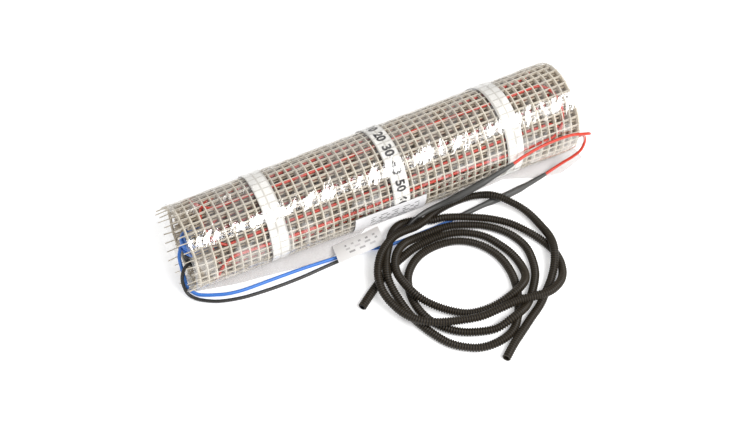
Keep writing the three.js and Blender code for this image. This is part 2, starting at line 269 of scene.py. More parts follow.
conduit_finish = plain_material("conduit_plastic", (0.034, 0.026, 0.016), 0.42, grain=600)
conduit_nodes = conduit_finish.node_tree
# Painted shade: the rib valleys are darkened to near black, so the crests stand out lighter.
valley = add_node(conduit_nodes, "ShaderNodeAttribute", attribute_name="valley").outputs["Fac"]
conduit_shader = lay_over(conduit_nodes, valley, (0.0015, 0.001, 0.001))
conduit_shader.inputs["Specular IOR Level"].default_value = 0.2

CONDUIT_DIAMETER = 0.010
CONDUIT_ROUTE = [
    (-94, -133, 5), (-79, -122, 5), (-64, -112, 5), (-49, -103, 5), (-34, -95, 5), (-19, -89, 5),
    (-4, -84, 5), (9, -82, 5), (24, -81, 5), (39, -82, 5), (54, -86, 5), (68, -94, 5), (80, -106, 5),
    (88, -122, 5), (94, -141, 5), (95, -161, 5), (90, -178, 8), (77, -191, 14), (56, -199, 15),
    (32, -200, 10), (9, -193, 5), (-9, -181, 6), (-26, -166, 11), (-36, -151, 15), (-40, -133, 15),
    (-41, -117, 15), (-38, -104, 15), (-31, -92, 15), (-20, -81, 12), (-8, -74, 8), (6, -71, 5),
    (20, -71, 5), (37, -71, 5), (52, -73, 5), (67, -79, 5), (85, -89, 5), (101, -105, 5), (110, -121, 5),
    (114, -140, 5), (110, -162, 5), (102, -180, 5), (88, -197, 5), (72, -212, 6), (57, -221, 12),
    (42, -225, 12), (24, -225, 6), (-3, -216, 5), (-17, -207, 5), (-27, -196, 5), (-35, -182, 5),
    (-39, -166, 5), (-39, -149, 5), (-35, -132, 5), (-28, -117, 5), (-18, -106, 5), (-6, -98, 5),
    (5, -94, 5), (22, -92, 5), (43, -95, 5), (59, -104, 5), (71, -118, 5), (79, -138, 5), (80, -161, 5),
    (75, -183, 5), (67, -201, 5), (56, -219, 5), (40, -235, 5), (19, -241, 5), (-2, -239, 5),
    (-17, -231, 5), (-30, -219, 5), (-39, -203, 5), (-46, -185, 5), (-51, -166, 5), (-53, -148, 7),
    (-54, -130, 10), (-53, -115, 14), (-48, -101, 15), (-40, -86, 12), (-30, -72, 12), (-20, -59, 12),
    (-10, -50, 9), (0, -45, 6), (11, -45, 5), (22, -49, 5), (34, -56, 6), (45, -61, 10), (57, -66, 11),
    (76, -76, 11), (95, -89, 12), (114, -105, 10), (129, -125, 6), (137, -144, 5), (140, -160, 5),
    (138, -177, 5), (131, -192, 6), (118, -205, 11), (100, -213, 15), (82, -213, 17), (61, -210, 18),
    (38, -210, 17), (15, -209, 15), (-7, -203, 14), (-29, -196, 15), (-46, -186, 15), (-56, -172, 13),
    (-62, -157, 12), (-66, -140, 13), (-66, -122, 15), (-60, -104, 17), (-49, -88, 20), (-35, -76, 20),
    (-20, -67, 18), (-5, -63, 15), (10, -61, 12), (26, -56, 10), (44, -47, 6), (67, -43, 6), (88, -43, 6),
    (104, -49, 9), (117, -61, 14), (130, -75, 11), (141, -94, 8), (145, -122, 8), (143, -146, 12),
    (136, -165, 14), (126, -181, 10), (113, -195, 6), (100, -206, 5), (84, -219, 5), (67, -229, 5),
    (51, -239, 5), (33, -250, 5), (15, -263, 5),
]
RIB_PITCH = 0.0029
conduit_line = smooth(metres(CONDUIT_ROUTE), 0.003)
conduit = grown("sensor_conduit", route_curve("conduit_line", conduit_line), round_tree, {
    "Diameter": CONDUIT_DIAMETER,
    "Step": RIB_PITCH / 4,
    "Sides": 14,
    "Rib Pitch": RIB_PITCH,
    "Rib Depth": 0.25,
}, conduit_finish)


def hollow_ends(piece, wall, depth):
    """Sinks a bore into both cut ends of a tube, whose ends are its only faces with many corners."""
    shell = bmesh.new()
    shell.from_mesh(piece.data)
    for face in [f for f in shell.faces if len(f.verts) > 4]:
        inward = -face.normal * depth
        bmesh.ops.inset_region(shell, faces=[face], thickness=wall, use_even_offset=True)
        sunk = bmesh.ops.extrude_face_region(shell, geom=[face])
        floor = [v for v in sunk["geom"] if isinstance(v, bmesh.types.BMVert)]
        bmesh.ops.translate(shell, verts=floor, vec=inward)
        bmesh.ops.delete(shell, geom=[face], context="FACES_ONLY")
    bmesh.ops.recalc_face_normals(shell, faces=shell.faces)
    shell.to_mesh(piece.data)
    shell.free()


hollow_ends(conduit, 0.0011, 0.014)
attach(conduit, "root")
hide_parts("sensor_conduit_coil", "sensor_conduit_left_end", "sensor_conduit_front_end")

# Joint sleeves and red tails: each cold lead meets the heating cable inside a dark heat-shrink sleeve,
# wide over the splice and narrow at its mouths. The tails are the cable's own ends, 3.6 mm thick: they
# come out of the far end of the roll and run on inside their sleeves.
red_finish = plain_material("red_cable_sheath", (0.50, 0.034, 0.013), 0.38, grain=700)
sleeve_finish = plain_material("shrink_sleeve", (0.055, 0.055, 0.052), 0.5, shades=0.2, grain=500, bump=0.3)
TAIL_DIAMETER = 0.0036
SLEEVE_DIAMETER = 0.0084
SLEEVE_SHAPE = [
    (0, 0.56), (0.08, 0.72), (0.3, 0.78), (0.36, 1), (0.68, 1), (0.76, 0.76), (0.96, 0.62), (1, 0.5),
]
BLACK_SLEEVE_ROUTE = [
    (19, -50.5, 15), (35, -48.5, 16.5), (51, -50, 21), (67, -55, 29.5), (84, -58.9, 38.5), (101, -61, 46),
    (121, -62, 54), (139, -61, 58.5),
]
BLACK_TAIL_ROUTE = [
    (139, -61, 58.5), (155, -60, 64), (177, -60, 69.5), (200, -60, 71), (219, -60.5, 70),
    (231, -61.5, 67), (241, -61.5, 63), (246.5, -58.5, 58), (247.5, -54, 54), (244, -50.5, 50.5),
    (235.4, -49, 49),
]
BLUE_SLEEVE_ROUTE = [
    (67, -64.5, 5), (83, -63.5, 5), (99, -62, 5), (118, -61, 5), (133, -60.7, 5), (147, -59.5, 5),
    (163, -57.5, 5), (179, -54.8, 5), (195, -51.8, 5),
]
BLUE_TAIL_ROUTE = [
    (195, -51.8, 5), (203, -50.8, 6.5), (211, -50.6, 9.5), (221, -51.5, 14.5), (231, -54, 21.5),
    (240, -55, 29), (246, -52.5, 36.5), (248.5, -48, 42), (246, -44, 44), (241, -42.5, 44),
    (235.4, -42, 43),
]
for side, sleeve_route, tail_route in (
    ("black", BLACK_SLEEVE_ROUTE, BLACK_TAIL_ROUTE),
    ("blue", BLUE_SLEEVE_ROUTE, BLUE_TAIL_ROUTE),
):
    sleeve_line = smooth(metres(sleeve_route), 0.0015)
    shares = np.linspace(0, 1, len(sleeve_line))
    widths = np.interp(shares, *zip(*SLEEVE_SHAPE))
    sleeve = grown(side + "_sleeve", route_curve("sleeve_line", sleeve_line, widths), round_tree, {
        "Diameter": SLEEVE_DIAMETER,
        "Step": 0.0015,
        "Sides": 20,
    }, sleeve_finish)
    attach(sleeve, "root")
    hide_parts(side + "_joint_sleeve")
    tail_line = smooth(metres(tail_route[:0:-1] + sleeve_route[:0:-1]), 0.002)
    tail = grown(side + "_tail", route_curve("tail_line", tail_line), round_tree, {
        "Diameter": TAIL_DIAMETER,
        "Sides": 14,
    }, red_finish)
    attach(tail, "root")
    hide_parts(side + "_side_tail")


# Lead label: a strip of coated paper folded over both cold leads, with rows of plain grey bars. It
# slopes from the flap behind the leads up to its front edge.
def sheet_mesh(name, corner, side_a, side_b, cells, thickness, bulge):
    """A thin closed sheet between two edge directions, with UVs over its faces; bulge lifts its middle."""
    nx, ny = cells
    normal = side_a.cross(side_b).normalized()
    shape = bmesh.new()
    uv_layer = shape.loops.layers.uv.new("UVMap")
    layers = []
    for lift in (thickness / 2, -thickness / 2):
        layers.append([[shape.verts.new(
            corner + side_a * (i / nx) + side_b * (j / ny) + normal * (lift + bulge(i / nx, j / ny))
        ) for j in range(ny + 1)] for i in range(nx + 1)])
    top, under = layers
    for i in range(nx):
        for j in range(ny):
            face = shape.faces.new((top[i][j], top[i + 1][j], top[i + 1][j + 1], top[i][j + 1]))
            for loop, (u, v) in zip(face.loops, ((i, j), (i + 1, j), (i + 1, j + 1), (i, j + 1))):
                loop[uv_layer].uv = (u / nx, v / ny)
            shape.faces.new((under[i][j + 1], under[i + 1][j + 1], under[i + 1][j], under[i][j]))
    rim = [(i, 0) for i in range(nx)] + [(nx, j) for j in range(ny)]
    rim += [(i, ny) for i in range(nx, 0, -1)] + [(0, j) for j in range(ny, 0, -1)]
    for (a, b), (c, d) in zip(rim, rim[1:] + rim[:1]):
        shape.faces.new((top[a][b], under[a][b], under[c][d], top[c][d]))
    piece = piece_of(shape, name)
    piece.data.set_sharp_from_angle(angle=math.radians(50))
    return piece


def paper_material(name, paper, ink, rows, row_length, share):
    """Coated paper with rows of plain bars: a brick pattern on the sheet's own UVs."""
    made = plain_material(name, paper, 0.45, shades=0.05, grain=400)
    tree = made.node_tree
    uv = add_node(tree, "ShaderNodeTexCoord").outputs["UV"]
    bars = add_node(tree, "ShaderNodeTexBrick", {
        "Vector": uv,
        "Scale": 1,
        "Mortar Size": share / rows,
        "Mortar Smooth": 0.1,
        "Bias": 0,
        "Brick Width": row_length,
        "Row Height": 1 / rows,
        "Color1": (*ink, 1),
        "Color2": (*(np.array(ink) * 2.2), 1),
        "Mortar": (*paper, 1),
    }, offset=0.37, squash=0.7, squash_frequency=3)
    apart = add_node(tree, "ShaderNodeSeparateXYZ", {"Vector": uv}).outputs
    inside = 1.0
    for place, low, high in ((apart["X"], 0.22, 0.9), (apart["Y"], 0.18, 0.84)):
        over = sum_node(tree, "GREATER_THAN", place, low)
        under = sum_node(tree, "LESS_THAN", place, high)
        inside = sum_node(tree, "MULTIPLY", inside, sum_node(tree, "MULTIPLY", over, under))
    lay_over(tree, inside, bars.outputs["Color"])
    return made


PAPER_THICKNESS = 0.0003
FLAG_LENGTH = 0.061
FLAG_BACK = Vector((-0.0855, -0.0372, 0.0019))
FLAG_FRONT = Vector((-0.0925, -0.0712, 0.0124))
flag_finish = paper_material("lead_label_paper", (0.92, 0.91, 0.90), (0.36, 0.35, 0.35), 5, 0.22, 0.26)
lead_label = sheet_mesh(
    "lead_label_sheet", FLAG_FRONT, Vector((FLAG_LENGTH, 0.004, 0)), FLAG_BACK - FLAG_FRONT, (16, 10),
    PAPER_THICKNESS,
    lambda u, v: 0.0005 * math.sin(math.pi * v) + 0.0004 * math.sin(7 * u),
)
lead_label.data.materials.append(flag_finish)
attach(lead_label, "root")
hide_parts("lead_label")

# Cold leads: two 4 mm single-core cables, black and blue, with a soft plastic sheath. The spare length
# of each is folded into a hank of eight turns inside the bore, and the rest comes out of the roll's left
# end and runs along its foot to the sleeves.
LEAD_DIAMETER = 0.004
HANK_MIDDLE = -210
HANK_HALF_STRAIGHT = 24
HANK_RADII = [20, 16, 12, 12, 16, 16, 12, 12, 16]
HANK_LAYER = 4


def hank(side, floor):
    """Eight turns of a racetrack in four layers, from the lead's way in on this side of the bore."""
    points = []
    layer = 0
    for turn_number in range(8):
        before, radius = HANK_RADII[turn_number:turn_number + 2]
        for share in np.linspace(0, 1, 6, endpoint=False):
            reach = before + (radius - before) * share
            x = HANK_MIDDLE + HANK_HALF_STRAIGHT * (2 * share - 1)
            points.append((x, -side * reach, floor + HANK_LAYER * layer))
        for share in np.linspace(0, 1, 8, endpoint=False):
            angle = math.pi * (share - 0.5)
            x = HANK_MIDDLE + HANK_HALF_STRAIGHT + radius * math.cos(angle)
            points.append((x, side * radius * math.sin(angle), floor + HANK_LAYER * layer))
        rise = 1 if turn_number in (1, 3, 5) else 0
        for share in np.linspace(0, 1, 6, endpoint=False):
            x = HANK_MIDDLE - HANK_HALF_STRAIGHT * (2 * share - 1)
            points.append((x, side * radius, floor + HANK_LAYER * (layer + rise * share)))
        layer += rise
        for share in np.linspace(0, 1, 8, endpoint=False):
            angle = math.pi * (share + 0.5)
            x = HANK_MIDDLE - HANK_HALF_STRAIGHT + radius * math.cos(angle)
            points.append((x, side * radius * math.sin(angle), floor + HANK_LAYER * layer))
    return points


BLACK_LEAD_ROUTE = [
    (19, -50.5, 15), (11, -52, 12.5), (1, -55, 7), (-11, -58, 4.4), (-25, -59.5, 4.6), (-35, -60.5, 6.4),
    (-45, -61, 7.6), (-55, -61, 7), (-66, -60.8, 4.6), (-80, -60.5, 2.8), (-91, -60.5, 2.8),
    (-110, -61.5, 2.8), (-135, -63, 2.8), (-165, -63, 2.8), (-187, -61.8, 2.8), (-208, -59.5, 2.8),
    (-233, -52.5, 2.8), (-246, -45, 2.8), (-254, -38.5, 3), (-260.5, -31, 6), (-262.5, -25, 13),
    (-262, -20, 22), (-257.5, -16, 31), (-251, -13, 34), (-245, -16, 32), (-239, -19.5, 30),
]
BLUE_LEAD_ROUTE = [
    (67, -64.5, 5), (59, -65, 4.4), (43, -65, 3), (16, -65.5, 2.8), (-11, -66, 2.8), (-39, -63, 2.8),
    (-56, -56.5, 2.8), (-74, -55.5, 2.8), (-92, -54.5, 2.8), (-130, -52, 2.8), (-166, -51, 2.8),
    (-204, -50, 2.8), (-221, -47, 2.8), (-233, -42.5, 2.8), (-243, -38, 2.8), (-251.5, -32.5, 3.2),
    (-258.2, -24.5, 8.5), (-258.4, -16, 19), (-258, -9, 31), (-257, -4, 42), (-252, 2, 49),
    (-247, 9, 47.5), (-240, 17.5, 46),
]
black_finish = plain_material("black_lead_sheath", (0.020, 0.019, 0.018), 0.4)
blue_finish = plain_material("blue_lead_sheath", (0.045, 0.19, 0.62), 0.4)
for color, lead_route, side, floor, finish, companions in (
    ("black", BLACK_LEAD_ROUTE, 1, 29, black_finish, [lead_label]),
    ("blue", BLUE_LEAD_ROUTE, -1, 45.3, blue_finish, []),
):
    lead_line = smooth(metres(lead_route + hank(side, floor)), 0.0025)
    lead = grown(color + "_cold_lead", route_curve("lead_line", lead_line), round_tree, {
        "Diameter": LEAD_DIAMETER,
        "Step": 0.0025,
        "Sides": 12,
    }, finish)
    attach(lead, "root")
    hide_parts(color + "_lead", color + "_lead_hank")

# Mat: leno-woven glass-fibre mesh, half a metre wide, with flat weft yarns round the roll and thinner
# warp yarns along it, one each centimetre. It is wound in about six turns, and its cut yarns stand out
# at both ends.
ROLL_CENTRE_X = -0.0085
FILM_RADIUS = 0.0548
FLARE = 0.0156
MAT_WIDTH = 0.487
MESH_PITCH = 0.010
MAT_TURNS = 6
TURN_PITCH = 0.0028
MESH_DEPTH = 0.00125
OUTER_EDGE_ANGLE = -78
WEFT_WIDTH = 0.0017
WARP_WIDTH = 0.0009
INNER_SPREAD = 1.9
INNER_TRIM = 0.026


def roll_point(x, depth, degrees):
    """A point of the roll: its station, its depth under the film and its angle above the front."""
    axis_height = FILM_RADIUS + FLARE * (x - ROLL_CENTRE_X)
    radius = axis_height - depth
    angle = math.radians(degrees)
    return Vector((x, -radius * math.cos(angle), axis_height + radius * math.sin(angle)))


def spiral_depth(degrees):
    """Depth of the mesh at an angle counted on from its outer edge, turn after turn."""
    return MESH_DEPTH + TURN_PITCH * (degrees - OUTER_EDGE_ANGLE) / 360


def seated(tree, group_in, geometry):
    """Widens the roll towards its right end, seats it on the floor and lets its yarns wander."""
    place = add_node(tree, "GeometryNodeInputPosition").outputs[0]
    parts = add_node(tree, "ShaderNodeSeparateXYZ", {"Vector": place}).outputs
    from_middle = sum_node(tree, "SUBTRACT", parts["X"], ROLL_CENTRE_X)
    flat = add_node(tree, "ShaderNodeCombineXYZ", {"Y": parts["Y"], "Z": parts["Z"]}).outputs[0]
    outward = add_node(tree, "ShaderNodeVectorMath", {0: flat}, operation="NORMALIZE").outputs[0]
    growth = sum_node(tree, "MULTIPLY", from_middle, group_in.outputs["Flare"])
    spread = add_node(tree, "ShaderNodeVectorMath", {0: outward, "Scale": growth}, operation="SCALE")
    height = sum_node(tree, "ADD", growth, group_in.outputs["Film Radius"])
    lift = add_node(tree, "ShaderNodeCombineXYZ", {"Z": height}).outputs[0]
    noise = add_node(tree, "ShaderNodeTexNoise", {
        "Vector": place,
        "Scale": 55,
        "Detail": 1,
        "Roughness": 0.4,
    })
    centred = add_node(tree, "ShaderNodeVectorMath", {0: noise.outputs["Color"], 1: (0.5, 0.5, 0.5)},
                       operation="SUBTRACT")
    past = sum_node(tree, "SUBTRACT", sum_node(tree, "ABSOLUTE", from_middle), MAT_WIDTH / 2)
    loose = sum_node(tree, "MULTIPLY_ADD", sum_node(tree, "MAXIMUM", past, 0), 500, 1)
    amount = sum_node(tree, "MULTIPLY", loose, group_in.outputs["Wander"])
    stray = add_node(tree, "ShaderNodeVectorMath", {
        0: centred.outputs[0],
        "Scale": amount,
    }, operation="SCALE")
    total = add_node(tree, "ShaderNodeVectorMath", {0: spread.outputs[0], 1: lift}, operation="ADD")
    offset = add_node(tree, "ShaderNodeVectorMath", {
        0: total.outputs[0],
        1: stray.outputs[0],
    }, operation="ADD")
    return add_node(tree, "GeometryNodeSetPosition", {
        "Geometry": geometry,
        "Offset": offset.outputs[0],
    }).outputs[0]


def strip(name, stations, cross):
    """A closed bar: one ring of corners at each station, from a function of the station."""
    rings = [[cross(s, k) for k in range(4)] for s in stations]
    points = [p for ring in rings for p in ring]
    faces = [(3, 2, 1, 0)]
    for i in range(len(rings) - 1):
        for k in range(4):
            a, b = 4 * i + k, 4 * i + (k + 1) % 4
            faces.append((a, b, b + 4, a + 4))
    last = 4 * (len(rings) - 1)
    faces.append((last, last + 1, last + 2, last + 3))
    mesh = bpy.data.meshes.new(name)
    mesh.from_pydata(points, [], faces)
    shape = bmesh.new()
    shape.from_mesh(mesh)
    bmesh.ops.recalc_face_normals(shape, faces=shape.faces)
    shape.to_mesh(mesh)
    shape.free()
    return bpy.data.objects.new(name, mesh)


CORNERS = [(-1, -1), (1, -1), (1, 1), (-1, 1)]


def weft_corner(degrees, k):
    sideways, outward = CORNERS[k]
    radius = FILM_RADIUS - spiral_depth(degrees) + outward * 0.0003
    angle = math.radians(degrees)
    buried_share = min(max((degrees - OUTER_EDGE_ANGLE - 360) / 60, 0), 1)
    half = WEFT_WIDTH / 2 * (1 + (INNER_SPREAD - 1) * buried_share)
    return (sideways * half, -radius * math.cos(angle), radius * math.sin(angle))


def warp_corner(share, k):
    sideways, outward = CORNERS[k]
    return (share, sideways * WARP_WIDTH / 2, outward * WARP_WIDTH / 2)


# Painted shade: a yarn's colour darkens with its depth under the film, where the inner turns lie in shade,
# up to the roll's cut ends.
yarn_finish = plain_material("glass_fibre_yarn", (0.66, 0.60, 0.50), 0.6, shades=0.22, grain=1500, bump=0.5)
yarn_nodes = yarn_finish.node_tree
yarn_place = add_node(yarn_nodes, "ShaderNodeTexCoord").outputs["Object"]
yarn_parts = add_node(yarn_nodes, "ShaderNodeSeparateXYZ", {"Vector": yarn_place}).outputs
height_at_origin = FILM_RADIUS - FLARE * ROLL_CENTRE_X
axis_height = sum_node(yarn_nodes, "MULTIPLY_ADD", yarn_parts["X"], FLARE, height_at_origin)
over_axis = sum_node(yarn_nodes, "SUBTRACT", yarn_parts["Z"], axis_height)
from_axis = add_node(yarn_nodes, "ShaderNodeCombineXYZ", {"X": yarn_parts["Y"], "Y": over_axis}).outputs[0]
reach = add_node(yarn_nodes, "ShaderNodeVectorMath", {0: from_axis}, operation="LENGTH").outputs["Value"]
painted_inner_shade = add_node(yarn_nodes, "ShaderNodeMapRange", {
    "Value": sum_node(yarn_nodes, "SUBTRACT", axis_height, reach),
    "From Min": 0.0028,
    "From Max": 0.0075,
    "To Max": 0.85,
}).outputs[0]
within = add_node(yarn_nodes, "ShaderNodeMapRange", {
    "Value": yarn_parts["X"],
    "From Min": ROLL_CENTRE_X - MAT_WIDTH / 2,
    "From Max": ROLL_CENTRE_X - MAT_WIDTH / 2 + 0.01,
}).outputs[0]
painted_inner_shade = sum_node(yarn_nodes, "MULTIPLY", painted_inner_shade, within)
# The painted shade of the inner turns is laid over the yarn colour here.
lay_over(yarn_nodes, painted_inner_shade, (0.42, 0.335, 0.235))

YARN_WANDER = 0.0016
WEFT = {
    "Count": 47,
    "First": 0.0,
    "Pitch": MESH_PITCH,
    "Flare": FLARE,
    "Film Radius": FILM_RADIUS,
    "Wander": YARN_WANDER,
}
weft_tree, weft_in, weft_out = new_tree("Weft yarns round the roll", WEFT)
weft_start = add_node(weft_tree, "ShaderNodeCombineXYZ", {"X": weft_in.outputs["First"]})
weft_step = add_node(weft_tree, "ShaderNodeCombineXYZ", {"X": weft_in.outputs["Pitch"]})
weft_places = add_node(weft_tree, "GeometryNodeMeshLine", {
    "Count": weft_in.outputs["Count"],
    "Start Location": weft_start.outputs[0],
    "Offset": weft_step.outputs[0],
})
weft_set = add_node(weft_tree, "GeometryNodeInstanceOnPoints", {
    "Points": weft_places.outputs[0],
    "Instance": weft_in.outputs["Geometry"],
})
weft_real = add_node(weft_tree, "GeometryNodeRealizeInstances", {"Geometry": weft_set.outputs[0]})
close_tree(weft_tree, weft_in, weft_out, seated(weft_tree, weft_in, weft_real.outputs[0]))
RINGS_PER_TURN = 44
spiral_end = OUTER_EDGE_ANGLE + 360 * MAT_TURNS
spiral_angles = np.linspace(OUTER_EDGE_ANGLE, spiral_end, RINGS_PER_TURN * MAT_TURNS)
# At the left end the inner turns lie a little further in, so the outermost yarns there have two turns.
FIRST_WEFT_X = ROLL_CENTRE_X - 0.240
EDGE_WEFTS = 2
EDGE_TURNS = 2
for piece_name, count, first, turns in (
    ("mesh_weft", WEFT["Count"], FIRST_WEFT_X + EDGE_WEFTS * MESH_PITCH, MAT_TURNS),
    ("mesh_edge_weft", EDGE_WEFTS, FIRST_WEFT_X, EDGE_TURNS),
):
    angles = spiral_angles[:RINGS_PER_TURN * turns]
    sizes = {**WEFT, "Count": count, "First": first}
    weft = grown(piece_name, strip("weft_yarn", angles, weft_corner), weft_tree, sizes, yarn_finish)
    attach(weft, "root")
    if turns == MAT_TURNS:
        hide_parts("mat_roll")

WARP = {
    "Pitch": MESH_PITCH,
    "Flare": FLARE,
    "Film Radius": FILM_RADIUS,
    "Wander": YARN_WANDER,
    "Seed": 4,
}
warp_tree, warp_in, warp_out = new_tree("Warp yarns along the roll", WARP)
warp_places = add_node(warp_tree, "GeometryNodeResampleCurve", {
    "Curve": warp_in.outputs["Geometry"],
    "Length": warp_in.outputs["Pitch"],
}, mode="LENGTH")
lengths = add_node(warp_tree, "FunctionNodeRandomValue", {
    "Min": (0.985, 0.8, 0.8),
    "Max": (1.004, 1.25, 1.25),
    "Seed": warp_in.outputs["Seed"],
}, data_type="FLOAT_VECTOR")
warp_at = add_node(warp_tree, "GeometryNodeInputPosition").outputs[0]
warp_radius = add_node(warp_tree, "ShaderNodeVectorMath", {0: warp_at}, operation="LENGTH").outputs["Value"]
under_first = add_node(warp_tree, "ShaderNodeMapRange", {
    "Value": warp_radius,
    "From Min": FILM_RADIUS - MESH_DEPTH - TURN_PITCH,
    "From Max": FILM_RADIUS - MESH_DEPTH - 1.3 * TURN_PITCH,
}).outputs[0]
shorter = sum_node(warp_tree, "MULTIPLY_ADD", under_first, -INNER_TRIM, 1)
wider = sum_node(warp_tree, "MULTIPLY_ADD", under_first, INNER_SPREAD - 1, 1)
inner_size = add_node(warp_tree, "ShaderNodeCombineXYZ", {"X": shorter, "Y": wider, "Z": wider}).outputs[0]
warp_size = add_node(warp_tree, "ShaderNodeVectorMath", {0: lengths.outputs[0], 1: inner_size},
                     operation="MULTIPLY").outputs[0]
WARP_RIGHT_X = 0.233
WARP_LENGTH = 0.496
warp_seed = strip("warp_yarn", np.linspace(-WARP_LENGTH, 0, 25), warp_corner)
bpy.context.scene.collection.objects.link(warp_seed)
warp_pattern = add_node(warp_tree, "GeometryNodeObjectInfo")
warp_pattern.inputs["Object"].default_value = warp_seed
warp_set = add_node(warp_tree, "GeometryNodeInstanceOnPoints", {
    "Points": warp_places.outputs[0],
    "Instance": warp_pattern.outputs["Geometry"],
    "Scale": warp_size,
})
warp_real = add_node(warp_tree, "GeometryNodeRealizeInstances", {"Geometry": warp_set.outputs[0]})
warp_put = add_node(warp_tree, "GeometryNodeTransform", {
    "Geometry": warp_real.outputs[0],
    "Translation": (WARP_RIGHT_X, 0, 0),
})
close_tree(warp_tree, warp_in, warp_out, seated(warp_tree, warp_in, warp_put.outputs[0]))
spiral_line = []
for degrees in spiral_angles:
    radius = FILM_RADIUS - spiral_depth(degrees)
    angle = math.radians(degrees)
    spiral_line.append((0, -radius * math.cos(angle), radius * math.sin(angle)))
warp = grown("mesh_warp", route_curve("warp_line", spiral_line), warp_tree, WARP, yarn_finish)
bpy.data.objects.remove(warp_seed)
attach(warp, "root")

# Heating cable: 3.6 mm, with a red sheath, laid on the mesh in runs along the roll and turned back near
# each edge. The runs lie 64 mm apart on the flat mat, so they draw closer round the inner turns.
CABLE_DIAMETER = 0.0036
CABLE_UNDER_MESH = 0.0019
CABLE_LEFT_X = -0.206
CABLE_RIGHT_X = 0.193
CABLE_BULGE = 0.022
CABLE_GAP = 74
CABLE_RUNS = 26
CABLE_START_X = 0.214
CABLE_START_ANGLE = -62.0
run_angle = CABLE_START_ANGLE
cable_line = [roll_point(CABLE_START_X, spiral_depth(run_angle) + CABLE_UNDER_MESH, run_angle)]
for run_number in range(CABLE_RUNS):
    goes_left = run_number % 2 == 0
    end_x = CABLE_LEFT_X if goes_left else CABLE_RIGHT_X
    start_x = CABLE_RIGHT_X if goes_left else CABLE_LEFT_X
    outward = -1 if goes_left else 1
    for share in np.linspace(0, 1, 14, endpoint=False):
        depth = spiral_depth(run_angle) + CABLE_UNDER_MESH
        wobble = 1.6 * math.sin(9 * share + 2.1 * run_number)
        cable_line.append(roll_point(start_x + (end_x - start_x) * share, depth, run_angle + wobble))
    gap = CABLE_GAP * (FILM_RADIUS - spiral_depth(0)) / (FILM_RADIUS - spiral_depth(run_angle))
    for share in np.linspace(0, 1, 12, endpoint=False):
        angle = run_angle + gap * (1 - math.cos(math.pi * share)) / 2
        depth = spiral_depth(angle) + CABLE_UNDER_MESH
        x = end_x + outward * CABLE_BULGE * math.sin(math.pi * share)
        cable_line.append(roll_point(x, depth, angle))
    run_angle += gap
cable = grown("red_heating_cable", route_curve("cable_line", cable_line), round_tree, {
    "Diameter": CABLE_DIAMETER,
    "Step": 0.006,
    "Sides": 10,
}, red_finish)
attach(cable, "root")
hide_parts("heating_cable")


# Tape bands: white fabric tape, 21 mm wide, wound once round the mat. The yarns press through it, so it
# shows the mesh's squares, and the middle band carries plain black numbers.
def band_mesh(name, stations, depth_at, degrees, closed, thickness):
    """A thin wall round the roll, closed on itself or open along the roll, with UVs in metres."""
    shape = bmesh.new()
    uv_layer = shape.loops.layers.uv.new("UVMap")
    walls = []
    for under in (0, thickness):
        walls.append([
            [shape.verts.new(roll_point(x, depth_at(x, a) + under, a)) for a in degrees] for x in stations
        ])
    count = len(degrees)
    steps = count if closed else count - 1
    for wall, flip in zip(walls, (False, True)):
        for i in range(len(stations) - 1):
            for j in range(steps):
                n = (j + 1) % count
                corners = [(i, j), (i + 1, j), (i + 1, n), (i, n)]
                if flip:
                    corners.reverse()
                face = shape.faces.new([wall[a][b] for a, b in corners])
                for loop, (a, b) in zip(face.loops, corners):
                    turned_by = degrees[b] if b or not j else degrees[0] + 360
                    loop[uv_layer].uv = (stations[a], math.radians(turned_by) * FILM_RADIUS)
    outer, inner = walls
    for i, row in ((0, outer[0]), (len(stations) - 1, outer[-1])):
        for j in range(steps):
            n = (j + 1) % count
            shape.faces.new((row[j], row[n], inner[i][n], inner[i][j]))
    if not closed:
        for i in range(len(stations) - 1):
            for j in (0, count - 1):
                shape.faces.new((outer[i][j], outer[i + 1][j], inner[i + 1][j], inner[i][j]))
    return piece_of(shape, name)


tape_finish = plain_material("fabric_tape", (0.83, 0.81, 0.77), 0.55, shades=0.06, grain=1200, bump=0.3)
tape_nodes = tape_finish.node_tree
tape_uv = add_node(tape_nodes, "ShaderNodeTexCoord").outputs["UV"]
tape_place = add_node(tape_nodes, "ShaderNodeSeparateXYZ", {"Vector": tape_uv}).outputs
pressed = 0.0
for axis, shift, line_width in (("X", 0.0035, 0.15), ("Y", 0.0, 0.12)):
    cells = sum_node(tape_nodes, "DIVIDE", sum_node(tape_nodes, "ADD", tape_place[axis], shift), MESH_PITCH)
    away = sum_node(tape_nodes, "PINGPONG", cells, 0.5)
    line = add_node(tape_nodes, "ShaderNodeMapRange", {
        "Value": away,
        "From Min": line_width,
        "From Max": 0.02,
    }, interpolation_type="SMOOTHSTEP").outputs[0]
    pressed = sum_node(tape_nodes, "MAXIMUM", pressed, line)
tape_shader = lay_over(tape_nodes, sum_node(tape_nodes, "MULTIPLY", pressed, 0.75), (0.55, 0.52, 0.46))
tape_relief = add_node(tape_nodes, "ShaderNodeBump", {
    "Height": pressed,
    "Strength": 0.7,
    "Distance": 0.0006,
})
tape_nodes.links.new(tape_shader.inputs["Normal"].links[0].from_socket, tape_relief.inputs["Normal"])
tape_nodes.links.new(tape_relief.outputs[0], tape_shader.inputs["Normal"])

TAPE_CENTRES = {"left": -0.153, "middle": -0.004, "right": 0.145}
TAPE_WIDTH = 0.021
TAPE_DEPTH = 0.0006
TAPE_THICKNESS = 0.0003
band_angles = np.linspace(-90, 270, 144, endpoint=False)
for side, slot_name in (("left", "tape"), ("middle", "printed_tape"), ("right", "tape")):
    node_name = "tape_band_" + side
    centre = TAPE_CENTRES[side]
    band = band_mesh(
        node_name + "_fabric", np.linspace(centre - TAPE_WIDTH / 2, centre + TAPE_WIDTH / 2, 9),
        lambda x, a: TAPE_DEPTH - 0.0001 * math.sin(math.radians(9 * a)) * math.sin(700 * x),
        band_angles, True, TAPE_THICKNESS,
    )
    band.data.materials.append(tape_finish)
    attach(band, "root")
    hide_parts(node_name)

